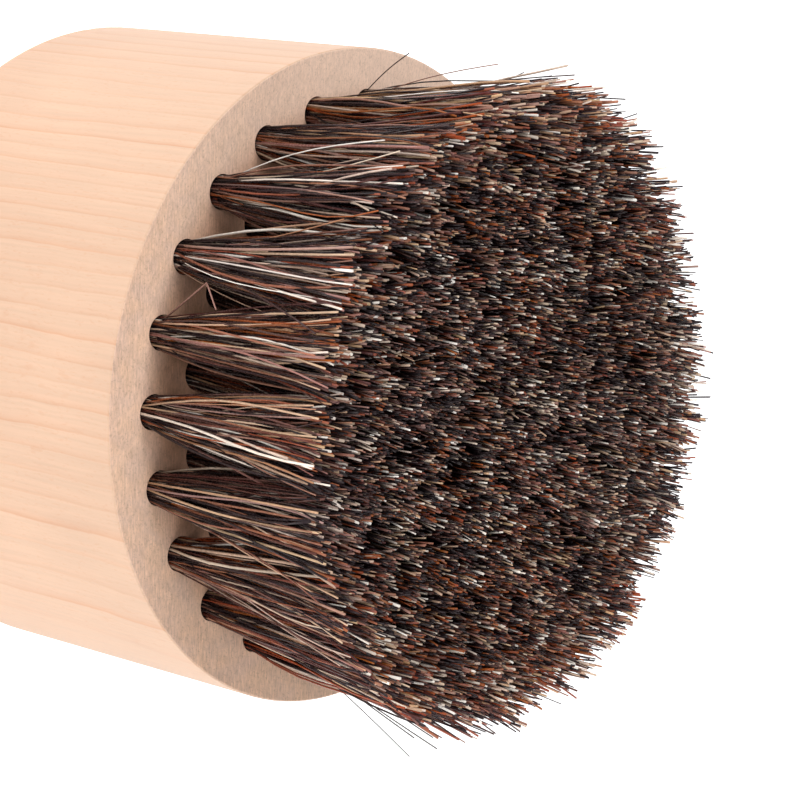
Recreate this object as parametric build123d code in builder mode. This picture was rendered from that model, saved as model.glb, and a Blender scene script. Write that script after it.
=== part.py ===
from build123d import *
import os

# A round brush: a turned hardwood block with hair tufts set in rings of blind holes.
# Millimetres. The block stands on its flat back at z = 0, and the hair points up +Z.

# Block
block_radius = 30.0
block_height = 32.8
back_rounding = 2.0       # soft edge round the flat back, which sits in the palm
face_edge_break = 0.18    # sanded edge round the drilled face

# Tuft holes, drilled square to the face
hole_radius = 1.55
hole_depth = 9.0          # to the end of the straight wall
drill_point = 0.9         # height of the cone that the drill's point leaves below it

# Hair
hair_height = 21.5        # from the face to the trimmed tips
tuft_hole_gap = 0.05      # round a tuft's tight root, and under it
tight_height = 5.0        # above the face, how far a tuft stays as tight as its hole
tip_radius = 2.42         # a tuft's spread at its tips
fold_rounding = 0.5       # where the hair turns back under the anchor

# Anchor: a length of flat wire on edge, driven across the bottom of each hole
anchor_length = 4.0
anchor_thickness = 0.35
anchor_width = 1.8        # upright
anchor_lift = 0.9         # depth of folded hair under the anchor
anchor_gap = 0.02         # round the anchor, in the hair and in the wood

# Rings of tufts, from the rim inwards
ring_spacing = 5.16
outer_ring_radius = 24.78
ring_names = ["outer", "second", "third", "fourth", "core"]
ring_counts = [23, 17, 12, 8, 4]
first_angles = [-92.2, -84.7, -88.0, -75.0, -60.0]    # degrees from +X
ring_radii = [outer_ring_radius - i * ring_spacing for i in range(len(ring_names))]
grouped_rings = ["fourth", "core"]                    # their tufts share one node

# Heights that follow
face_z = block_height
tip_z = face_z + hair_height
hole_floor_z = face_z - hole_depth
tuft_root_z = hole_floor_z + tuft_hole_gap
tuft_root_radius = hole_radius - tuft_hole_gap
anchor_z = hole_floor_z + anchor_lift


def ring_places(ring):
    """The tuft centres of one ring, all facing the same way."""
    places = PolarLocations(ring_radii[ring], ring_counts[ring], first_angles[ring], rotate=False)
    return places.locations


all_places = [place for ring in range(len(ring_names)) for place in ring_places(ring)]


def keep(piece, name):
    """Labels a finished piece and writes it as its own node."""
    piece.label = name
    export_step(piece, f"parts/{name}.step")
    print(f"{name}: {len(piece.solids())} solid(s), {piece.volume:.1f} mm3")


os.makedirs("parts", exist_ok=True)

# The room an anchor takes in the hair and in the wood
with BuildPart() as anchor_slot:
    with BuildSketch(Plane.XY.offset(anchor_z - anchor_gap)):
        Rectangle(anchor_length + 2 * anchor_gap, anchor_thickness + 2 * anchor_gap)
    extrude(amount=anchor_width + 2 * anchor_gap)

# One drilled hole, with its cone at the bottom
with BuildPart() as drilled_hole:
    with BuildSketch(Plane.XZ):
        with BuildLine():
            Polyline(
                (0, face_z),
                (hole_radius, face_z),
                (hole_radius, hole_floor_z),
                (0, hole_floor_z - drill_point),
                close=True,
            )
        make_face()
    revolve(axis=Axis.Z)

# Block: handle and hair stock in one turned piece
with BuildPart() as block:
    with BuildSketch(Plane.XY):
        Circle(block_radius)
    extrude(amount=block_height)
    fillet(block.edges().sort_by(Axis.Z)[0], radius=back_rounding)
    fillet(block.edges().sort_by(Axis.Z)[-1], radius=face_edge_break)
    with Locations(all_places):
        add(drilled_hole.part, mode=Mode.SUBTRACT)
        add(anchor_slot.part, mode=Mode.SUBTRACT)
keep(block.part, "block")

# One tuft: folded over its anchor, tight out of its hole, then spreading to trimmed tips
with BuildPart() as tuft_form:
    with BuildSketch(Plane.XZ):
        with BuildLine():
            FilletPolyline(
                (0, tuft_root_z),
                (tuft_root_radius, tuft_root_z),
                (tuft_root_radius, face_z + tight_height),
                radius=fold_rounding,
            )
            TangentArc(
                (tuft_root_radius, face_z + tight_height),
                (tip_radius, tip_z),
                tangent=(0, 1),
            )
            Polyline((tip_radius, tip_z), (0, tip_z), (0, tuft_root_z))
        make_face()
    revolve(axis=Axis.Z)
    add(anchor_slot.part, mode=Mode.SUBTRACT)

# One anchor
with BuildPart() as anchor_form:
    with BuildSketch(Plane.XY.offset(anchor_z)):
        Rectangle(anchor_length, anchor_thickness)
    extrude(amount=anchor_width)

for ring, ring_name in enumerate(ring_names):
    places = ring_places(ring)
    if ring_name in grouped_rings:
        with BuildPart() as tufts:
            with Locations(places):
                add(tuft_form.part)
        keep(tufts.part, f"tufts_{ring_name}")
    else:
        for number, place in enumerate(places, start=1):
            with BuildPart() as tuft:
                with Locations(place):
                    add(tuft_form.part)
            keep(tuft.part, f"tuft_{ring_name}_{number:02d}")

    with BuildPart() as anchors:
        with Locations(places):
            add(anchor_form.part)
    keep(anchors.part, f"anchors_{ring_name}")
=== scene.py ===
"""A round neck duster brush: wood, hair and a plain studio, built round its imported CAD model."""

import math

import bmesh
import bpy
import numpy as np
from bpy.props import EnumProperty, FloatProperty, FloatVectorProperty, IntProperty, PointerProperty
from mathutils import Matrix, Vector


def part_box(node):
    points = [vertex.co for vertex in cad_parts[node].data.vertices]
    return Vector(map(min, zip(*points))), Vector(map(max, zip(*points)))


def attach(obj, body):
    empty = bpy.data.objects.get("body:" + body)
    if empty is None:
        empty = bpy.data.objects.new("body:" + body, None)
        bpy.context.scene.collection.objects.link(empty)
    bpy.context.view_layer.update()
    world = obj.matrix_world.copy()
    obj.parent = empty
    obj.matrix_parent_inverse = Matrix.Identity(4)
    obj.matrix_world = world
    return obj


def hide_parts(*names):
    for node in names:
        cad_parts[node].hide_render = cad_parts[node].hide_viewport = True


bl_info = {
    "name": "Neck Duster Brush",
    "version": (1, 0, 0),
    "blender": (4, 5, 0),
    "location": "View3D > Sidebar > Brush",
    "description": "Grows the hair, finishes the wood and sets the stage of a round neck duster",
    "category": "Object",
}

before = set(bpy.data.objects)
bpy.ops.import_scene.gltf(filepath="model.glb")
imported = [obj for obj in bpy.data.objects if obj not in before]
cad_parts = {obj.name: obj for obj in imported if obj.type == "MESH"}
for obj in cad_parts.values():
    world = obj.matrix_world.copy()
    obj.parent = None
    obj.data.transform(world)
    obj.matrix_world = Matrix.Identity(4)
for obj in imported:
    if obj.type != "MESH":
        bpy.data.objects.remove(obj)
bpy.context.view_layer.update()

MM = 0.001
ROOT = "root"
FACE_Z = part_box("block")[1].z
BLOCK_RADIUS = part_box("block")[1].x
RINGS = ("outer", "second", "third", "fourth", "core")


# ---------------------------------------------------------------------------------------------
# Settings
# ---------------------------------------------------------------------------------------------

def length_property(name, description, default):
    return FloatProperty(name=name, description=description, default=default, unit="LENGTH", precision=5)


def angle_property(name, description, degrees):
    return FloatProperty(name=name, description=description, default=math.radians(degrees), subtype="ANGLE")


def colour_property(name, description, default):
    return FloatVectorProperty(
        name=name, description=description, default=default, subtype="COLOR", size=4, min=0, max=1
    )


class BrushHairSettings(bpy.types.PropertyGroup):
    """How the hair is cut, packed and coloured."""

    strands: IntProperty(
        name="Hairs per tuft", description="Hair ends that stand in one hole", default=480, min=20, max=600
    )
    rim_strands: IntProperty(
        name="Hairs per rim tuft", description="Hair ends that stand in one hole of the outer ring",
        default=310, min=20, max=600,
    )
    strand_radius: length_property("Hair radius", "Half the thickness of one hair", 0.067 * MM)
    root_radius: length_property("Root radius", "How tight a tuft is in its hole", 1.42 * MM)
    tip_radius: length_property("Tip spread", "How wide a tuft fans at its tips", 3.6 * MM)
    rim_tip_radius: length_property("Rim tip spread", "How wide a rim tuft fans at its tips", 3.9 * MM)
    outward_reach: length_property("Outward reach", "How far tips may lean past the last holes", 2.6 * MM)
    locks: IntProperty(
        name="Locks per tuft", description="Groups of hairs whose tips cling together",
        default=20, min=1, max=60,
    )
    cling: FloatProperty(
        name="Cling", description="How far tips move towards the middle of their lock",
        default=0.38, min=0, max=1,
    )
    likeness: FloatProperty(
        name="Likeness", description="Share of hairs that have their lock's own colour",
        default=0.16, min=0, max=1,
    )
    bow: length_property("Bow", "How far a hair bends away from a straight line", 0.45 * MM)
    flick: length_property("Flick", "How far the last part of a hair turns aside", 0.35 * MM)
    raggedness: FloatProperty(
        name="Raggedness", description="Share of its length that a hair may fall short of the trim",
        default=0.034, min=0, max=0.3,
    )
    rim_lightness: FloatProperty(
        name="Rim lightness", description="How many more light hairs the rim tufts have",
        default=0.0, min=-1, max=1,
    )
    # Fewer light hairs in the inner tufts: partly a darker mix of hair, partly painted shade that keeps the
    # tip field dark
    inner_lightness: FloatProperty(
        name="Inner lightness", description="How many more light hairs the other tufts have",
        default=-0.17, min=-1, max=1,
    )
    flank_warmth: FloatProperty(
        name="Flank warmth", description="How much warmer the hair is towards both ends of the x axis",
        default=0.22, min=0, max=1,
    )
    flank_lightness: FloatProperty(
        name="Flank lightness",
        description="How many more light hairs the rim has at both ends of the x axis",
        default=0.16, min=0, max=1,
    )
    # Painted shade: light depth and deep shade darken the hair's colour the deeper it lies in the brush
    light_depth: length_property("Light depth", "How far light reaches into the mass of hair", 1.5 * MM)
    deep_shade: FloatProperty(
        name="Deep shade", description="Share of a hair's own colour that is left deep inside the hair",
        default=0.30, min=0, max=1,
    )
    black: colour_property("Black hair", "Darkest hairs", (0.020, 0.012, 0.014, 1))
    brown: colour_property("Brown hair", "Dark brown hairs", (0.076, 0.032, 0.026, 1))
    chestnut: colour_property("Chestnut hair", "Red-brown hairs", (0.27, 0.100, 0.055, 1))
    tan: colour_property("Tan hair", "Yellowish light hairs", (0.50, 0.35, 0.235, 1))
    grey: colour_property("Grey hair", "Grey-white hairs", (0.84, 0.78, 0.70, 1))


class BrushWoodSettings(bpy.types.PropertyGroup):
    """The turned block's wood."""

    ring_pitch: length_property("Ring pitch", "Distance between growth rings", 1.7 * MM)
    pith_distance: length_property("Pith distance", "From the block's axis to the tree's heart", 82 * MM)
    heart_angle: angle_property("Heart angle", "Turns the growth rings about the block's axis", 20)
    sanding_angle: angle_property("Sanding angle", "Turns the fine scratches of the drilled face", -17)
    side: colour_property("Side wood", "Long grain on the turned side", (0.62, 0.41, 0.283, 1))
    ring: colour_property("Ring line", "Late wood in each growth ring", (0.575, 0.305, 0.18, 1))
    end: colour_property("End wood", "End grain on the drilled face", (0.71, 0.475, 0.335, 1))
    # Painted light: this paler end wood lightens the face towards -x, where the key light falls
    end_painted_light: colour_property("Pale end wood", "End grain on the heart's side", (0.82, 0.60, 0.47, 1))
    end_blush: colour_property("End blush", "Greyer patches in the end grain", (0.66, 0.455, 0.345, 1))
    # Painted shade: this tint darkens the face among the holes, where the tufts shade it
    shade_between_tufts: colour_property("Between tufts", "Tint of the face among the holes", (0.80, 0.64, 0.56, 1))


class BrushStageSettings(bpy.types.PropertyGroup):
    """Camera, light and floor."""

    lens: FloatProperty(
        name="Lens", description="Focal length in millimetres", default=120.4, min=20, max=300
    )
    sky: FloatProperty(name="Sky light", description="Strength of the even light", default=0.34, min=0, max=5)
    floor: colour_property("Floor", "Pale floor", (0.93, 0.93, 0.93, 1))
    floor_glow: FloatProperty(
        name="Floor glow", description="Light the floor gives, as a lit table would",
        default=0.60, min=0, max=5,
    )
    key: FloatProperty(name="Key light", description="Power in watts", default=2.15, min=0, max=50)
    fill: FloatProperty(name="Fill light", description="Power in watts", default=1.0, min=0, max=50)
    low: FloatProperty(name="Low light", description="Power in watts", default=1.8, min=0, max=50)


# ---------------------------------------------------------------------------------------------
# Materials
# ---------------------------------------------------------------------------------------------

# The range that most of a noise texture's values lie in
NOISE_LOW = 0.3
NOISE_HIGH = 0.7


class NodeBench:
    """Adds and links shader nodes in one tree."""

    def __init__(self, tree):
        self.tree = tree

    def add(self, kind, inputs=(), **settings):
        node = self.tree.nodes.new(kind)
        for name, value in settings.items():
            setattr(node, name, value)
        for name, value in dict(inputs).items():
            self.feed(value, node.inputs[name])
        return node

    def feed(self, value, socket):
        if isinstance(value, bpy.types.NodeSocket):
            self.tree.links.new(value, socket)
        else:
            socket.default_value = value

    def math(self, operation, *values):
        return self.add("ShaderNodeMath", enumerate(values), operation=operation).outputs[0]

    def vector(self, operation, *values):
        return self.add("ShaderNodeVectorMath", enumerate(values), operation=operation)

    def mix(self, factor, first, second, blend="MIX"):
        node = self.add("ShaderNodeMix", {0: factor, 6: first, 7: second}, data_type="RGBA", blend_type=blend)
        return node.outputs[2]

    def noise(self, vector, scale, detail=2.0, roughness=0.5):
        node = self.add(
            "ShaderNodeTexNoise",
            {"Vector": vector, "Scale": scale, "Detail": detail, "Roughness": roughness},
        )
        return node.outputs["Fac"]

    def remap(self, value, low, high, new_low=0.0, new_high=1.0, smooth=False):
        node = self.add(
            "ShaderNodeMapRange",
            {"Value": value, "From Min": low, "From Max": high, "To Min": new_low, "To Max": new_high},
            interpolation_type="SMOOTHSTEP" if smooth else "LINEAR",
        )
        return node.outputs[0]

    def vary(self, noise, low, high):
        """Stretches a noise's usual range to run from low to high."""
        return self.remap(noise, NOISE_LOW, NOISE_HIGH, low, high)

    def combine(self, x, y, z):
        return self.add("ShaderNodeCombineXYZ", {"X": x, "Y": y, "Z": z}).outputs[0]

    def shade(self, colour, gain):
        """A colour made lighter or darker by a gain."""
        return self.mix(1.0, colour, self.combine(gain, gain, gain), "MULTIPLY")

    def grain(self, axes, stretch, detail=2.0):
        """Noise with its own scale along each of three axes."""
        space = self.combine(*[self.math("MULTIPLY", axis, scale) for axis, scale in zip(axes, stretch)])
        return self.noise(space, 1.0, detail=detail)


def new_group(name, inputs, outputs):
    """A shader node group with named sockets; returns its bench, its input node and its output node."""
    group = bpy.data.node_groups.new(name, "ShaderNodeTree")
    for direction, sockets in (("INPUT", inputs), ("OUTPUT", outputs)):
        for socket_name, kind in sockets:
            group.interface.new_socket(socket_name, in_out=direction, socket_type=kind)
    bench = NodeBench(group)
    return bench, bench.add("NodeGroupInput"), bench.add("NodeGroupOutput")


def uneven_tone_group():
    """Shifts a colour lighter and darker in soft patches, so that no surface is one flat colour."""
    name = "uneven_tone"
    if name in bpy.data.node_groups:
        return bpy.data.node_groups[name]
    bench, given, result = new_group(
        name,
        [("Color", "NodeSocketColor"), ("Vector", "NodeSocketVector"), ("Scale", "NodeSocketFloat"),
         ("Amount", "NodeSocketFloat")],
        [("Color", "NodeSocketColor")],
    )
    patch = bench.noise(given.outputs["Vector"], given.outputs["Scale"], detail=3.0)
    low = bench.math("SUBTRACT", 1.0, given.outputs["Amount"])
    high = bench.math("ADD", 1.0, given.outputs["Amount"])
    gain = bench.vary(patch, low, high)
    tone = bench.vector("SCALE", given.outputs["Color"])
    bench.feed(gain, tone.inputs["Scale"])
    bench.feed(tone.outputs[0], result.inputs["Color"])
    return bench.tree


def uneven(bench, colour, vector, scale, amount):
    """A colour passed through the uneven_tone group."""
    inputs = {"Color": colour, "Vector": vector, "Scale": scale, "Amount": amount}
    return bench.add("ShaderNodeGroup", inputs, node_tree=uneven_tone_group()).outputs["Color"]


def new_material(name):
    """A new material, with a bench for its nodes and its shader."""
    material = bpy.data.materials.new(name)
    material.use_nodes = True
    bench = NodeBench(material.node_tree)
    return material, bench, material.node_tree.nodes["Principled BSDF"]


# How often the growth rings wander and shiver along the block's three axes, per millimetre
WANDER_GRAIN = (0.05, 0.05, 0.012)
SHIVER_GRAIN = (0.2, 0.2, 0.16)

# How often the wood's figure repeats across the rings, along them and along the fibres, and how
# often its sanding scratches do along and across themselves, per millimetre
YEAR_GRAIN = (1.0, 0.15, 0.07)
FIBRE_GRAIN = (3.2, 3.2, 0.10)
RAY_GRAIN = (0.8, 4.6, 0.7)
FLECK_GRAIN = (0.12, 3.0, 0.55)
FLECK_PATCH_GRAIN = (0.07, 0.07, 0.05)
PORE_GRAIN = (6.0, 6.0, 1.6)
BLUSH_GRAIN = (0.5, 0.5, 0.3)
SANDING_GRAIN = (0.9, 6.0, 1.0)

# How far the growth rings wander and shiver and where the tree's heart lies aside, in millimetres,
# and how much the fibres lean
WANDER_WIDTH = 5.0
SHIVER_WIDTH = 0.45
HEART_ASIDE = 20.0
FIBRE_LEAN = -0.008

# A growth ring: how strong its early and late wood are and how late each starts, where its line
# ends, then the strengths of its years and their patches
EARLY_WOOD = 0.22
EARLY_WOOD_POWER = 2.0
LATE_WOOD = 0.85
LATE_WOOD_POWER = 7.0
LATE_WOOD_END = 0.93
YEAR_STRENGTHS = (0.4, 1.3)
YEAR_PATCH_STRENGTHS = (0.55, 1.25)

# How strongly rings, pores and flecks mark the side
RING_WEIGHT = 0.95
PORE_WEIGHT = 0.3
FLECK_WEIGHT = 0.45

# Up to what part of its normal along the axis a surface shows side grain, and from what part end grain
SIDE_FACING = 0.75
END_FACING = 0.97

# From where to where, out from the block's axis, the painted shade among the tufts fades, in millimetres
SHADE_AMONG_TUFTS_FADE = (22.5, 27.0)

SIDE_ROUGHNESS = 0.5
END_ROUGHNESS = 0.72
WOOD_IOR = 1.48
WOOD_BUMP = 0.25
WOOD_RELIEF = 0.04 * MM


def wood_material(wood):
    """Pale diffuse-porous wood, solid through the block: growth rings, rays, fibres and fine pores."""
    material, bench, shader = new_material("turned_maple")
    place = bench.add("ShaderNodeTexCoord")
    metres = place.outputs["Object"]
    pos = bench.vector("SCALE", metres)
    pos.inputs["Scale"].default_value = 1 / MM
    pos = pos.outputs[0]

    def turned(angle):
        inputs = {"Vector": pos, "Angle": angle}
        return bench.add("ShaderNodeVectorRotate", inputs, rotation_type="Z_AXIS").outputs[0]

    x, y, z = bench.add("ShaderNodeSeparateXYZ", {0: turned(wood.heart_angle)}).outputs

    # Grain space: u across the rings, v along them, z along the fibres, which lean a little
    lean = bench.math("MULTIPLY_ADD", z, FIBRE_LEAN, x)
    heart_x = bench.math("ADD", lean, wood.pith_distance / MM)
    heart_y = bench.math("ADD", y, HEART_ASIDE)
    distance = bench.vector("LENGTH", bench.combine(heart_x, heart_y, 0.0)).outputs["Value"]
    wander = bench.math("SUBTRACT", bench.grain((x, y, z), WANDER_GRAIN), 0.5)
    shiver = bench.math("SUBTRACT", bench.grain((x, y, z), SHIVER_GRAIN), 0.5)
    u = bench.math("MULTIPLY_ADD", wander, WANDER_WIDTH, distance)
    u = bench.math("MULTIPLY_ADD", shiver, SHIVER_WIDTH, u)
    v = bench.math("MULTIPLY", bench.math("ARCTAN2", heart_y, heart_x), wood.pith_distance / MM)
    grain_space = (u, v, z)

    # Growth rings: a soft rise to a thin late-wood line that ends sharply, stronger in some years
    turns = bench.math("DIVIDE", u, wood.ring_pitch / MM)
    phase = bench.math("FRACT", turns)
    year = bench.math("FLOOR", turns)
    year_chance = bench.add("ShaderNodeTexWhiteNoise", {"W": year}, noise_dimensions="1D").outputs["Value"]
    early_wood = bench.math("MULTIPLY", bench.math("POWER", phase, EARLY_WOOD_POWER), EARLY_WOOD)
    rise = bench.math("MULTIPLY_ADD", bench.math("POWER", phase, LATE_WOOD_POWER), LATE_WOOD, early_wood)
    cut = bench.remap(phase, LATE_WOOD_END, 1.0, 1.0, 0.0, smooth=True)
    ring = bench.math("MULTIPLY", rise, cut)
    ring = bench.math("MULTIPLY", ring, bench.remap(year_chance, 0, 1, *YEAR_STRENGTHS))
    patches = bench.vary(bench.grain(grain_space, YEAR_GRAIN), *YEAR_PATCH_STRENGTHS)
    ring = bench.math("MULTIPLY", ring, patches)

    # Fibres, rays and pores share grain space, so the side shows dashes where the end shows dots
    fibre = bench.grain(grain_space, FIBRE_GRAIN, detail=4.0)
    ray = bench.grain(grain_space, RAY_GRAIN, detail=4.0)
    fleck = bench.remap(bench.grain(grain_space, FLECK_GRAIN, detail=1.0), 0.62, 0.72)
    fleck_patch = bench.remap(bench.grain(grain_space, FLECK_PATCH_GRAIN), 0.42, 0.62)
    fleck = bench.math("MULTIPLY", fleck, fleck_patch)
    fleck = bench.math("MULTIPLY", fleck, bench.remap(x, -10, 20, 0.15, 1.0))
    pore = bench.remap(bench.grain(grain_space, PORE_GRAIN, detail=1.0), 0.58, 0.72)

    side_colour = bench.mix(bench.math("MULTIPLY", ring, RING_WEIGHT), tuple(wood.side), tuple(wood.ring))
    side_colour = bench.shade(side_colour, bench.vary(fibre, 0.95, 1.045))
    side_colour = bench.mix(bench.math("MULTIPLY", pore, PORE_WEIGHT), side_colour, tuple(wood.ring))
    side_colour = bench.mix(bench.math("MULTIPLY", fleck, FLECK_WEIGHT), side_colour, tuple(wood.ring))

    # End grain: blushes, then painted light that makes it paler towards -x and lighter towards +x, then
    # sanding scratches that are fainter towards -x
    blush = bench.remap(bench.grain(grain_space, BLUSH_GRAIN, detail=3.0), 0.35, 0.65)
    end_colour = bench.mix(blush, tuple(wood.end), tuple(wood.end_blush))
    end_colour = bench.mix(bench.remap(x, 2, -28), end_colour, tuple(wood.end_painted_light))
    # Painted light: up to 12 percent lighter towards +x, where the low light falls
    end_colour = bench.shade(end_colour, bench.remap(x, 8, 28, 1.0, 1.12))
    sanded = bench.add("ShaderNodeMapping", {"Vector": turned(wood.sanding_angle), "Scale": SANDING_GRAIN})
    hatch = bench.noise(sanded.outputs[0], 1.0, detail=5.0, roughness=0.65)
    hatched = bench.shade(end_colour, bench.vary(hatch, 0.80, 1.19))
    end_colour = bench.mix(bench.remap(x, -26, -6, 0.45, 1.0), end_colour, hatched)
    end_colour = bench.shade(end_colour, bench.vary(ray, 0.95, 1.05))
    end_colour = bench.shade(end_colour, bench.vary(fibre, 0.95, 1.05))
    end_colour = bench.shade(end_colour, bench.remap(pore, 0, 1, 1.03, 0.84))
    end_colour = bench.shade(end_colour, bench.remap(ring, 0, 1, 1.0, 0.92))

    # Painted shade: the drilled face is darkened and warmed among the tufts, where their shadows fall; the
    # back has the same end grain without it
    facing = bench.add("ShaderNodeSeparateXYZ", {0: place.outputs["Normal"]}).outputs[2]
    across = bench.vector("MULTIPLY", pos, (1, 1, 0)).outputs[0]
    from_axis = bench.vector("LENGTH", across).outputs["Value"]
    shade_among_tufts = bench.remap(from_axis, *SHADE_AMONG_TUFTS_FADE, 1.0, 0.0, smooth=True)
    tinted = bench.math("MULTIPLY", shade_among_tufts, bench.math("GREATER_THAN", facing, 0.0))
    end_colour = bench.mix(tinted, end_colour, tuple(wood.shade_between_tufts), "MULTIPLY")

    end = bench.remap(bench.math("ABSOLUTE", facing), SIDE_FACING, END_FACING, smooth=True)
    colour = bench.mix(end, side_colour, end_colour)
    colour = uneven(bench, colour, metres, 60.0, 0.035)
    bench.feed(colour, shader.inputs["Base Color"])

    rough = bench.remap(end, 0, 1, SIDE_ROUGHNESS, END_ROUGHNESS)
    rough = bench.math("ADD", rough, bench.math("MULTIPLY", bench.math("SUBTRACT", fibre, 0.5), 0.15))
    bench.feed(rough, shader.inputs["Roughness"])
    height = bench.math("SUBTRACT", bench.math("MULTIPLY", fibre, 0.5), bench.math("MULTIPLY", pore, 0.6))
    height = bench.math("ADD", height, bench.math("MULTIPLY", hatch, bench.math("MULTIPLY", end, 1.5)))
    bump = bench.add("ShaderNodeBump", {"Height": height, "Strength": WOOD_BUMP, "Distance": WOOD_RELIEF})
    bench.feed(bump.outputs[0], shader.inputs["Normal"])
    shader.inputs["IOR"].default_value = WOOD_IOR
    return material


# The hair's hue and saturation, as the ranges of a Hue/Saturation node; a hair's hue comes from the
# part after the point of its warmth times a number, which is as good as a second random number
HAIR_HUES = (0.484, 0.506)
HAIR_SATURATIONS = (0.6, 1.2)
WARMTH_TO_CHANCE = 7.31

# How much painted light lifts the hair at its cut end over its root, then its gloss
CUT_END_PAINTED_LIGHT = 1.28
HAIR_ROUGHNESS = (0.17, 0.32)
HAIR_SPECULAR = 0.19
HAIR_SPECULAR_TINT = (1.0, 0.92, 0.90, 1)


def hair_material(hair):
    """Mixed natural hair: glossy, each one with its own tone, with painted shade deep inside the brush and
    painted light towards its cut end.
    """
    material, bench, shader = new_material("mixed_hair")
    tone = bench.add("ShaderNodeAttribute", attribute_name="strand_tone").outputs["Fac"]
    reach = bench.add("ShaderNodeAttribute", attribute_name="strand_reach").outputs["Fac"]
    shades = bench.add("ShaderNodeValToRGB", {0: tone})
    ramp = shades.color_ramp
    stops = [(0.0, hair.black), (0.38, hair.black), (0.46, hair.brown), (0.53, hair.brown),
             (0.62, hair.chestnut), (0.78, hair.chestnut), (0.86, hair.tan), (0.93, hair.tan),
             (0.98, hair.grey), (1.0, hair.grey)]
    while len(ramp.elements) < len(stops):
        ramp.elements.new(0.5)
    for element, (position, colour) in zip(ramp.elements, stops):
        element.position = position
        element.color = colour
    place = bench.add("ShaderNodeTexCoord").outputs["Object"]
    # Painted shade: darker the deeper a point lies in the hair, down to deep_shade of its colour; painted
    # light: lighter towards the cut end
    depth = bench.add("ShaderNodeAttribute", attribute_name="strand_depth").outputs["Fac"]
    reached = bench.math("EXPONENT", bench.math("DIVIDE", depth, -hair.light_depth))
    lit = bench.math("MULTIPLY_ADD", reached, 1 - hair.deep_shade, hair.deep_shade)
    gain = bench.math("MULTIPLY", lit, bench.remap(reach, 0.0, 1.0, 1.0, CUT_END_PAINTED_LIGHT))
    warmth = bench.add("ShaderNodeAttribute", attribute_name="strand_warmth").outputs["Fac"]
    chance = bench.math("FRACT", bench.math("MULTIPLY", warmth, WARMTH_TO_CHANCE))
    hue = bench.remap(chance, 0, 1, *HAIR_HUES)
    saturation = bench.remap(warmth, 0, 1, *HAIR_SATURATIONS)
    inputs = {"Color": shades.outputs[0], "Hue": hue, "Saturation": saturation}
    tinted = bench.add("ShaderNodeHueSaturation", inputs).outputs[0]
    colour = uneven(bench, bench.shade(tinted, gain), place, 600.0, 0.15)
    bench.feed(colour, shader.inputs["Base Color"])
    scale_marks = bench.noise(place, 2500.0)
    bench.feed(bench.vary(scale_marks, *HAIR_ROUGHNESS), shader.inputs["Roughness"])
    shader.inputs["Specular IOR Level"].default_value = HAIR_SPECULAR
    shader.inputs["Specular Tint"].default_value = HAIR_SPECULAR_TINT
    return material


def wire_material():
    """Drawn steel wire: bright, with fine lines along its length."""
    material, bench, shader = new_material("drawn_wire")
    place = bench.add("ShaderNodeTexCoord").outputs["Object"]
    stretch = bench.add("ShaderNodeMapping", {"Vector": place, "Scale": (0.05, 1.0, 1.0)})
    lines = bench.noise(stretch.outputs[0], 9000.0)
    colour = uneven(bench, (0.62, 0.61, 0.58, 1), stretch.outputs[0], 4000.0, 0.12)
    bench.feed(colour, shader.inputs["Base Color"])
    bench.feed(bench.vary(lines, 0.25, 0.45), shader.inputs["Roughness"])
    shader.inputs["Metallic"].default_value = 1.0
    return material


def floor_material(stage):
    """Pale paper floor on a lit table, faintly uneven."""
    material, bench, shader = new_material("pale_floor")
    place = bench.add("ShaderNodeTexCoord").outputs["Object"]
    colour = uneven(bench, tuple(stage.floor), place, 8.0, 0.01)
    bench.feed(colour, shader.inputs["Base Color"])
    shader.inputs["Roughness"].default_value = 0.9
    shader.inputs["Specular IOR Level"].default_value = 0.1
    shader.inputs["Emission Color"].default_value = (1, 1, 1, 1)
    shader.inputs["Emission Strength"].default_value = stage.floor_glow
    return material


def kept_material(name, make, *settings):
    """The named material, made the first time it is asked for."""
    return bpy.data.materials.get(name) or make(*settings)


# ---------------------------------------------------------------------------------------------
# Hair
# ---------------------------------------------------------------------------------------------

def tuft_centres(node):
    """The centre of each separate tuft in a CAD node, in the order of its vertices."""
    bm = bmesh.new()
    bm.from_mesh(node.data)
    bmesh.ops.remove_doubles(bm, verts=bm.verts, dist=0.001 * MM)
    bm.verts.index_update()
    seen = [False] * len(bm.verts)
    centres = []
    for first in bm.verts:
        if seen[first.index]:
            continue
        seen[first.index] = True
        island = [first]
        for vert in island:
            for edge in vert.link_edges:
                other = edge.other_vert(vert)
                if not seen[other.index]:
                    seen[other.index] = True
                    island.append(other)
        xs = [vert.co.x for vert in island]
        ys = [vert.co.y for vert in island]
        centres.append(Vector(((min(xs) + max(xs)) / 2, (min(ys) + max(ys)) / 2, 0)))
    bm.free()
    return centres


# Where a hair may bend, as shares of its way from the face to its tip; inner hairs show only their tips
RIM_STATIONS = np.linspace(0, 1, 8)
INNER_STATIONS = np.array([0, 0.5, 0.8, 0.92, 1])

# Locks: how far out they lie, the share of hairs that cling to them and the strongest pull
LOCK_SPREAD = 0.9
CLINGING_SHARE = 0.85
STRONGEST_PULL = 1.4

# Hairs that cross their tuft, and how far they and the others turn about its middle, in radians
CROSSING_SHARE = 0.20
CROSSING_TURN = 2.0
FAN_TURN = 0.22

# Where hairs end: how unevenly they fan, how far tips, wild tips, whole tufts and roots are off
# their places, the share of wild hairs, and how much further rim tufts reach along x
FAN_UNEVENNESS = 0.14
TIP_SCATTER = 0.35 * MM
WILD_SCATTER = 1.6 * MM
TUFT_SCATTER = 0.40 * MM
ROOT_SCATTER = 0.02 * MM
WILD_SHARE = 0.11
X_REACH_GAIN = 0.4

# Hair lengths: how ragged whole locks are next to single hairs, the share of short hairs and the
# most that they lack, and the most that any hair lacks
LOCK_RAGGEDNESS = 0.7
SHORT_SHARE = 0.08
SHORT_CUT = 0.14
MOST_CUT = 0.35

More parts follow.
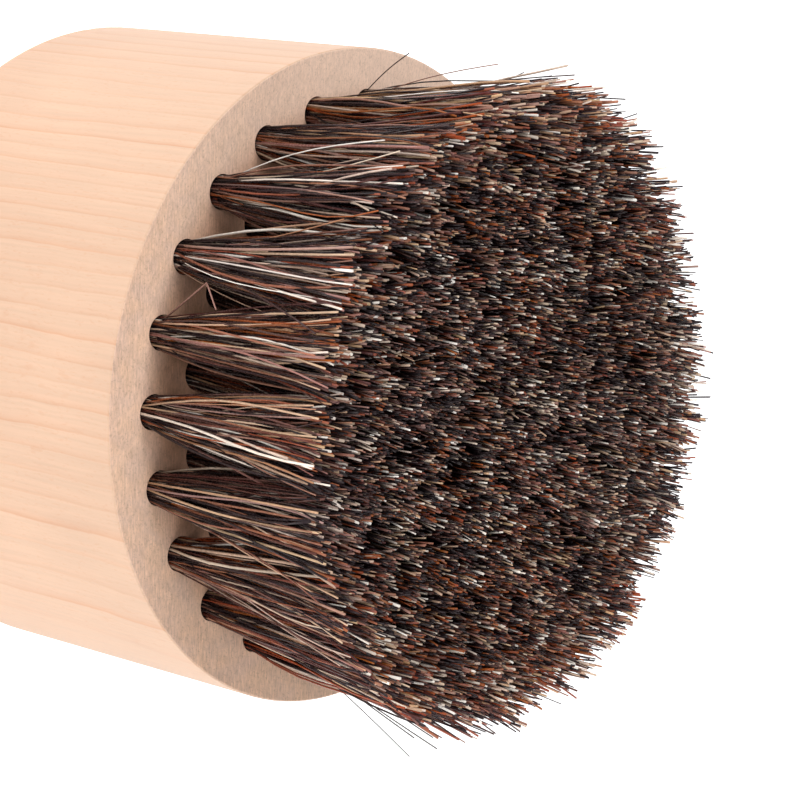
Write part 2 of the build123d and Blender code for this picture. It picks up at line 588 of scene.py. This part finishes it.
# Bends: the share of strongly bent hairs, how much strong and slight bends are, and what is taken
# off the outward part of a bend
BENT_SHARE = 0.15
STRONG_BEND = 1.5
SLIGHT_BEND = 0.7
OUTWARD_BEND_CUT = 0.65

# How strong a hair's second bend is next to its first, how late it fans out, and how late it flicks
CURL_SHARE = 0.4
OPENING = (0.90, 1.25)
FLICK_POWER = 5

# How deep a point counts as lying for the painted shade, for each metre that it is away from the side and
# from the tips
SIDE_DEPTH_GAIN = 0.4
TIP_DEPTH_GAIN = 1.7

# Hair thickness as a share of the radius in the settings: the middle and spread of its logarithm,
# its limits, then the share of black hairs and what grey hairs have on top
THICKNESS_MIDDLE = -0.05
THICKNESS_SPREAD = 0.28
THINNEST = 0.5
THICKEST = 1.4
BLACK_THICKNESS = 0.85
GREY_EXTRA_THICKNESS = 0.35

# How much whole tufts differ in tone and warmth
TUFT_TONE_RANGE = 0.06
TUFT_WARMTH_RANGE = 0.08
MOST_WARMTH = 1.4

# Turns a hair's four sides about its own line, by its tone, in radians
TURN_PER_TONE = 40
# A face that points this much along the axis is a hair's cut end, not its side
CUT_END_NORMAL = 0.8


def spiral(count, turn):
    """Evenly spread points of a disc of radius 1: their angles, starting at turn, and their radii."""
    order = np.arange(count)
    return order * math.pi * (3 - math.sqrt(5)) + turn, np.sqrt((order + 0.5) / count)


def on_disc(angle, radius):
    """Points given by angle and radius, as rows of x and y."""
    return np.stack([np.cos(angle), np.sin(angle)], axis=1) * np.reshape(radius, (-1, 1))


def cling_to_locks(hair, rng, end):
    """Draws the tips of a tuft together into locks; returns the tips and every hair's lock."""
    angle, radius = spiral(hair.locks, rng.uniform(0, 2 * math.pi))
    middles = on_disc(angle, radius * np.abs(end).max() * LOCK_SPREAD)
    lock = np.linalg.norm(end[:, None] - middles[None], axis=2).argmin(axis=1)
    pull = hair.cling * rng.uniform(0, STRONGEST_PULL, len(end)) * (rng.random(len(end)) < CLINGING_SHARE)
    return end + (middles[lock] - end) * pull[:, None], lock


def strand_lines(hair, rng, centre, root_z, tip_z, rim):
    """Where every hair of one tuft runs, as stations by hairs by xyz, and every hair's lock."""
    count = hair.rim_strands if rim else hair.strands
    tip_radius = hair.rim_tip_radius if rim else hair.tip_radius
    turn, spread = spiral(count, rng.uniform(0, 2 * math.pi))
    start = on_disc(turn, spread * hair.root_radius) + rng.normal(0, ROOT_SCATTER, (count, 2))

    # Most hairs fan out the way they leave the hole; some cross the tuft to the other side
    crossing = rng.random(count) < CROSSING_SHARE
    fan_turn = turn + rng.normal(0, np.where(crossing, CROSSING_TURN, FAN_TURN))
    end = on_disc(fan_turn, spread * tip_radius * rng.lognormal(0, FAN_UNEVENNESS, count))
    scatter = np.where(rng.random(count) < WILD_SHARE, WILD_SCATTER, TIP_SCATTER)
    end += rng.normal(0, 1, (count, 2)) * scatter[:, None] + rng.normal(0, TUFT_SCATTER, 2)
    end, lock = cling_to_locks(hair, rng, end)

    # Rim tufts lean out a little further along x than along y
    axis = np.array([centre.x, centre.y])
    outward = axis / max(np.linalg.norm(axis), 1e-6)
    limit = outermost_ring_radius() + hair.outward_reach * (1 + X_REACH_GAIN * outward[0] ** 2)
    past = np.maximum(0, (axis + end) @ outward - limit)
    end -= outward * (past * rng.uniform(0.5, 1.0, count))[:, None]

    short = np.abs(rng.normal(0, hair.raggedness, count))
    short += np.abs(rng.normal(0, hair.raggedness * LOCK_RAGGEDNESS, hair.locks))[lock]
    short += np.where(rng.random(count) < SHORT_SHARE, rng.uniform(0, SHORT_CUT, count), 0)
    length = 1 - np.minimum(short, MOST_CUT)
    bend = rng.normal(0, hair.bow, (count, 2))
    bend *= np.where(rng.random(count) < BENT_SHARE, STRONG_BEND, SLIGHT_BEND)[:, None]
    bend -= outward * (np.maximum(0, bend @ outward) * OUTWARD_BEND_CUT)[:, None]
    curl = rng.normal(0, hair.bow * CURL_SHARE, (count, 2))
    flick = rng.normal(0, hair.flick, (count, 2))
    opening = rng.uniform(*OPENING, count)

    lines = [np.column_stack([start, np.full(count, root_z)])]
    for share in RIM_STATIONS if rim else INNER_STATIONS:
        reach = share * length
        side = start + (end - start) * (reach ** opening)[:, None]
        side += bend * np.sin(math.pi * reach)[:, None] + curl * np.sin(2 * math.pi * reach)[:, None]
        side += flick * share ** FLICK_POWER
        lines.append(np.column_stack([side, FACE_Z + reach * (tip_z - FACE_Z)]))
    return np.array(lines) + np.array([centre.x, centre.y, 0]), lock


def outermost_ring_radius():
    """How far the rim tufts' holes are from the block's axis."""
    low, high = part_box("tuft_outer_01")
    middle = (low + high) / 2
    return math.hypot(middle.x, middle.y)


def hair_depths(lines, hair):
    """How deep every point of lines lies in the brush's hair, as light has to find its way there; the hair's
    colour is darkened by it as painted shade.
    """
    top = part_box("tuft_outer_01")[1].z
    height = np.clip((lines[:, :, 2] - FACE_Z) / (top - FACE_Z), 0, 1)
    side = outermost_ring_radius() + hair.root_radius + height * (hair.outward_reach - hair.root_radius)
    from_side = side - np.hypot(lines[:, :, 0], lines[:, :, 1])
    from_tips = top - lines[:, :, 2]
    return np.maximum(0, np.minimum(from_side * SIDE_DEPTH_GAIN, from_tips * TIP_DEPTH_GAIN))


def grow_strands(bm, lines, radii, tones, warmths, depths):
    """Turns each line into a closed four-sided hair, by extruding every hair's end at once."""
    tone_layer = bm.verts.layers.float["strand_tone"]
    warmth_layer = bm.verts.layers.float["strand_warmth"]
    reach_layer = bm.verts.layers.float["strand_reach"]
    depth_layer = bm.verts.layers.float["strand_depth"]
    index_layer = bm.verts.layers.int["strand_index"]
    ends = []
    for index, (point, radius, tone) in enumerate(zip(lines[0], radii, tones)):
        made = bmesh.ops.create_circle(
            bm, cap_ends=True, segments=4, radius=radius,
            matrix=Matrix.Translation(point) @ Matrix.Rotation(tone * TURN_PER_TONE, 4, "Z"),
        )
        for vert in made["verts"]:
            vert[tone_layer] = tone
            vert[warmth_layer] = warmths[index]
            vert[index_layer] = index
            vert[depth_layer] = depths[0][index]
        ends.extend(made["verts"][0].link_faces)
    last = len(lines) - 1
    for station in range(1, len(lines)):
        steps = [Vector(step) for step in lines[station] - lines[station - 1]]
        made = bmesh.ops.extrude_face_region(bm, geom=ends)["geom"]
        ends = [item for item in made if isinstance(item, bmesh.types.BMFace)]
        for vert in made:
            if isinstance(vert, bmesh.types.BMVert):
                vert.co += steps[vert[index_layer]]
                vert[reach_layer] = (station - 1) / (last - 1)
                vert[depth_layer] = depths[station][vert[index_layer]]


def hair_piece(name, lines, radii, tones, warmths, hair):
    """One mesh of all the hairs in lines, an array of stations by hairs by xyz."""
    bm = bmesh.new()
    for layer in ("strand_tone", "strand_warmth", "strand_reach", "strand_depth"):
        bm.verts.layers.float.new(layer)
    bm.verts.layers.int.new("strand_index")
    grow_strands(bm, lines, radii, tones, warmths, hair_depths(lines, hair))
    bmesh.ops.recalc_face_normals(bm, faces=bm.faces)
    for face in bm.faces:
        face.smooth = abs(face.normal.z) < CUT_END_NORMAL
    mesh = bpy.data.meshes.new(name)
    bm.to_mesh(mesh)
    bm.free()
    mesh.materials.append(kept_material("mixed_hair", hair_material, hair))
    piece = bpy.data.objects.new(name, mesh)
    bpy.context.scene.collection.objects.link(piece)
    return piece


def fill_node(node_name, hair, seed):
    """Hair that stands for one CAD node of tufts."""
    rng = np.random.default_rng(seed)
    low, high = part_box(node_name)
    rim = "outer" in node_name
    lightness = hair.rim_lightness if rim else hair.inner_lightness
    lines = []
    tones = []
    warmths = []
    for centre in tuft_centres(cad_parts[node_name]):
        tuft, lock = strand_lines(hair, rng, centre, low.z, high.z, rim)
        lines.append(tuft)
        alike = rng.random(len(lock)) < hair.likeness
        tone, warmth = np.where(alike, rng.random((2, hair.locks))[:, lock], rng.random((2, len(lock))))
        flank = centre.x ** 2 / centre.length_squared
        lighter = lightness + (hair.flank_lightness * flank if rim else 0)
        tones.append(tone ** (1 - lighter + rng.uniform(-TUFT_TONE_RANGE, TUFT_TONE_RANGE)))
        warmer = hair.flank_warmth * flank + rng.uniform(-TUFT_WARMTH_RANGE, TUFT_WARMTH_RANGE)
        warmths.append(warmth + warmer)
    lines = np.concatenate(lines, axis=1)
    tones = np.concatenate(tones)
    warmths = np.clip(np.concatenate(warmths), 0, MOST_WARMTH)
    thickness = rng.lognormal(THICKNESS_MIDDLE, THICKNESS_SPREAD, len(tones))
    thickness = np.clip(thickness, THINNEST, THICKEST)
    if rim:
        thickness = thickness * math.sqrt(hair.strands / hair.rim_strands)
    radii = hair.strand_radius * thickness * (BLACK_THICKNESS + GREY_EXTRA_THICKNESS * tones)
    piece = hair_piece("hair_" + node_name, lines, radii, tones, warmths, hair)
    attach(piece, ROOT)
    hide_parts(node_name)


# Loose hairs: which rim tuft by its angle in degrees, the tone, then where the tip stands from the
# tuft's foot: outward, sideways and up, in millimetres
STRAYS = (
    (-170.5, 0.10, (5.0, 0.0, 4.5)),
    (-170.5, 0.62, (4.7, 0.0, 14.5)),
    (-170.5, 0.30, (4.1, 0.3, 20.5)),
    (173.9, 0.20, (5.2, 0.0, 11.3)),
    (1.7, 0.05, (7.0, 0.0, 14.3)),
    (1.7, 0.20, (5.3, 0.0, 14.5)),
    (1.7, 0.10, (4.8, 0.0, 16.5)),
    (1.7, 0.40, (5.7, 0.2, 17.0)),
    (1.7, 0.62, (4.5, 0.3, 19.8)),
    (-123.5, 0.95, (3.2, -4.0, 18.8)),
    (-123.5, 0.90, (1.4, -4.2, 13.3)),
    (-123.5, 0.97, (2.0, -6.0, 15.3)),
    (-107.9, 0.80, (2.2, -4.4, 17.0)),
    (-60.9, 0.92, (2.4, 4.9, 18.5)),
    (-45.2, 0.85, (2.8, 5.6, 18.0)),
)
# The one kinked hair: its tuft and tone, then where it bends and where it ends
KINKED = (-92.2, 0.72, ((1.7, -4.6, 5.4), (1.7, -2.6, 7.0)))
KINKED_THICKNESS = 1.5
STRAY_THICKNESS = (0.75, 1.15)
STRAY_FOOT = (0.4, 0.0, -1.0)
STRAY_BOW = 0.2 * MM
STRAY_SEED = 9000
RING_SEED_STEP = 1000


def beside_tuft(angle, points):
    """Points given by outward lean, sideways lean and height at a rim tuft, as places in metres."""
    turn = math.radians(angle)
    outward = np.array([math.cos(turn), math.sin(turn), 0])
    sideways = np.array([-math.sin(turn), math.cos(turn), 0])
    foot = outward * outermost_ring_radius() + np.array([0, 0, FACE_Z])
    leans = np.array(points) * MM
    return foot + leans[:, :1] * outward + leans[:, 1:2] * sideways + leans[:, 2:] * np.array([0, 0, 1])


def bent_line(angle, points):
    """A hair with a sharp bend at every point but the last, as stations by xyz."""
    places = beside_tuft(angle, [STRAY_FOOT, *points])
    share = np.linspace(0, len(places) - 1, len(RIM_STATIONS) + 1)
    return np.stack([np.interp(share, np.arange(len(places)), places[:, part]) for part in range(3)], axis=1)


def stray_line(rng, angle, tip):
    """A hair that leaves its tuft nearly straight, as stations by xyz."""
    line = bent_line(angle, [tip])
    bow = np.sin(np.linspace(0, math.pi, len(line)))[:, None]
    return line + bow * rng.normal(0, STRAY_BOW, 3)


# ---------------------------------------------------------------------------------------------
# Operators
# ---------------------------------------------------------------------------------------------

def put_on(node_name, material):
    """Gives a CAD node its material."""
    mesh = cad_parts[node_name].data
    mesh.materials.clear()
    mesh.materials.append(material)


class DUSTER_OT_finish_block(bpy.types.Operator):
    """Finish the turned block in pale wood"""

    bl_idname = "duster.finish_block"
    bl_label = "Finish Block"

    def execute(self, context):
        put_on("block", kept_material("turned_maple", wood_material, context.scene.brush_wood))
        return {"FINISHED"}


class DUSTER_OT_finish_anchors(bpy.types.Operator):
    """Finish the wire anchors at the bottoms of the holes"""

    bl_idname = "duster.finish_anchors"
    bl_label = "Finish Anchors"

    def execute(self, context):
        for ring in RINGS:
            put_on("anchors_" + ring, kept_material("drawn_wire", wire_material))
        return {"FINISHED"}


class DUSTER_OT_fill_ring(bpy.types.Operator):
    """Fill one ring of holes with tufts of hair"""

    bl_idname = "duster.fill_ring"
    bl_label = "Fill Ring"

    ring: EnumProperty(
        name="Ring", description="Which ring of holes to fill",
        items=[(name, name.title(), "The " + name + " ring") for name in RINGS],
    )

    def execute(self, context):
        prefixes = ("tuft_" + self.ring, "tufts_" + self.ring)
        nodes = sorted(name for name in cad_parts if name.startswith(prefixes))
        if not nodes:
            raise RuntimeError("the model has no tufts in ring " + self.ring)
        for number, name in enumerate(nodes):
            fill_node(name, context.scene.brush_hair, RING_SEED_STEP * RINGS.index(self.ring) + number)
        return {"FINISHED"}


class DUSTER_OT_lay_strays(bpy.types.Operator):
    """Lay the few loose hairs that stand away from the rim tufts"""

    bl_idname = "duster.lay_strays"
    bl_label = "Lay Strays"

    def execute(self, context):
        hair = context.scene.brush_hair
        rng = np.random.default_rng(STRAY_SEED)
        lines = [stray_line(rng, angle, tip) for angle, tone, tip in STRAYS]
        tones = [tone for angle, tone, tip in STRAYS]
        angle, tone, points = KINKED
        lines.append(bent_line(angle, points))
        tones.append(tone)
        radii = hair.strand_radius * rng.uniform(*STRAY_THICKNESS, len(lines))
        radii[-1] = hair.strand_radius * KINKED_THICKNESS
        warmths = rng.random(len(lines))
        piece = hair_piece("hair_strays", np.stack(lines, axis=1), radii, tones, warmths, hair)
        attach(piece, ROOT)
        return {"FINISHED"}


# Where the soft lights stand, in metres, and how wide each is
LIGHT_PLACES = {
    "key": (-0.36, -0.19, 0.42),
    "fill": (0.0, -0.50, 0.45),
    "low": (0.50, -0.15, 0.30),
}
LIGHT_WIDTH = 0.4
FLOOR_HALF_WIDTH = 1.5

# The camera: where on the face it aims and how far away it stands, in block radii, the direction
# it looks in, and its roll, which lays the brush's axis across the picture
CAMERA_AIM = Vector((0.0352, 0.2822, 0))
CAMERA_DISTANCE = 8.353
CAMERA_FORWARD = Vector((0.0054, 1.2607, -1.0))
CAMERA_ROLL = math.radians(100.63)


def area_light(name, place, target, power):
    """A soft round light that shines at a target."""
    data = bpy.data.lights.new(name, "AREA")
    data.shape = "DISK"
    data.size = LIGHT_WIDTH
    data.energy = power
    light = bpy.data.objects.new(name, data)
    light.location = place
    light.rotation_euler = (Vector(target) - Vector(place)).to_track_quat("-Z", "Y").to_euler()
    bpy.context.scene.collection.objects.link(light)


class DUSTER_OT_set_stage(bpy.types.Operator):
    """Lay the pale floor, light it softly and place the camera"""

    bl_idname = "duster.set_stage"
    bl_label = "Set Stage"

    def execute(self, context):
        scene = context.scene
        stage = scene.brush_stage

        bm = bmesh.new()
        bmesh.ops.create_grid(bm, x_segments=1, y_segments=1, size=FLOOR_HALF_WIDTH)
        mesh = bpy.data.meshes.new("floor")
        bm.to_mesh(mesh)
        bm.free()
        mesh.materials.append(kept_material("pale_floor", floor_material, stage))
        floor = bpy.data.objects.new("floor", mesh)
        scene.collection.objects.link(floor)

        world = bpy.data.worlds.new("even_sky")
        world.use_nodes = True
        sky = world.node_tree.nodes["Background"]
        sky.inputs["Color"].default_value = (1, 1, 1, 1)
        sky.inputs["Strength"].default_value = stage.sky
        scene.world = world
        scene.view_settings.view_transform = "Standard"

        middle = Vector((0, 0, FACE_Z))
        for name, place in LIGHT_PLACES.items():
            area_light(name, place, middle, getattr(stage, name))

        data = bpy.data.cameras.new("camera")
        data.lens = stage.lens
        data.sensor_width = 36
        camera = bpy.data.objects.new("camera", data)
        forward = CAMERA_FORWARD.normalized()
        camera.location = middle + (CAMERA_AIM - forward * CAMERA_DISTANCE) * BLOCK_RADIUS
        look = forward.to_track_quat("-Z", "Y").to_matrix()
        camera.rotation_euler = (look @ Matrix.Rotation(CAMERA_ROLL, 3, "Z")).to_euler()
        scene.collection.objects.link(camera)
        scene.camera = camera
        return {"FINISHED"}


class DUSTER_PT_panel(bpy.types.Panel):
    """Shows the buttons that build the brush, and its settings"""

    bl_idname = "DUSTER_PT_panel"
    bl_label = "Neck Duster Brush"
    bl_space_type = "VIEW_3D"
    bl_region_type = "UI"
    bl_category = "Brush"

    def draw(self, context):
        layout = self.layout
        layout.operator(DUSTER_OT_finish_block.bl_idname)
        layout.operator(DUSTER_OT_finish_anchors.bl_idname)
        for ring in RINGS:
            layout.operator(DUSTER_OT_fill_ring.bl_idname, text="Fill " + ring.title() + " Ring").ring = ring
        layout.operator(DUSTER_OT_lay_strays.bl_idname)
        layout.operator(DUSTER_OT_set_stage.bl_idname)
        for settings in (context.scene.brush_hair, context.scene.brush_wood, context.scene.brush_stage):
            for name in settings.__annotations__:
                layout.prop(settings, name)


SETTINGS = {
    "brush_hair": BrushHairSettings,
    "brush_wood": BrushWoodSettings,
    "brush_stage": BrushStageSettings,
}
CLASSES = (
    *SETTINGS.values(),
    DUSTER_OT_finish_block,
    DUSTER_OT_finish_anchors,
    DUSTER_OT_fill_ring,
    DUSTER_OT_lay_strays,
    DUSTER_OT_set_stage,
    DUSTER_PT_panel,
)


def register():
    for cls in CLASSES:
        bpy.utils.register_class(cls)
    for name, group in SETTINGS.items():
        setattr(bpy.types.Scene, name, PointerProperty(type=group))


def unregister():
    for name in SETTINGS:
        delattr(bpy.types.Scene, name)
    for cls in reversed(CLASSES):
        bpy.utils.unregister_class(cls)


def main():
    register()
    bpy.ops.duster.set_stage()
    bpy.ops.duster.finish_block()
    bpy.ops.duster.finish_anchors()
    for ring in RINGS:
        bpy.ops.duster.fill_ring(ring=ring)
    bpy.ops.duster.lay_strays()


if __name__ == "__main__":
    main()
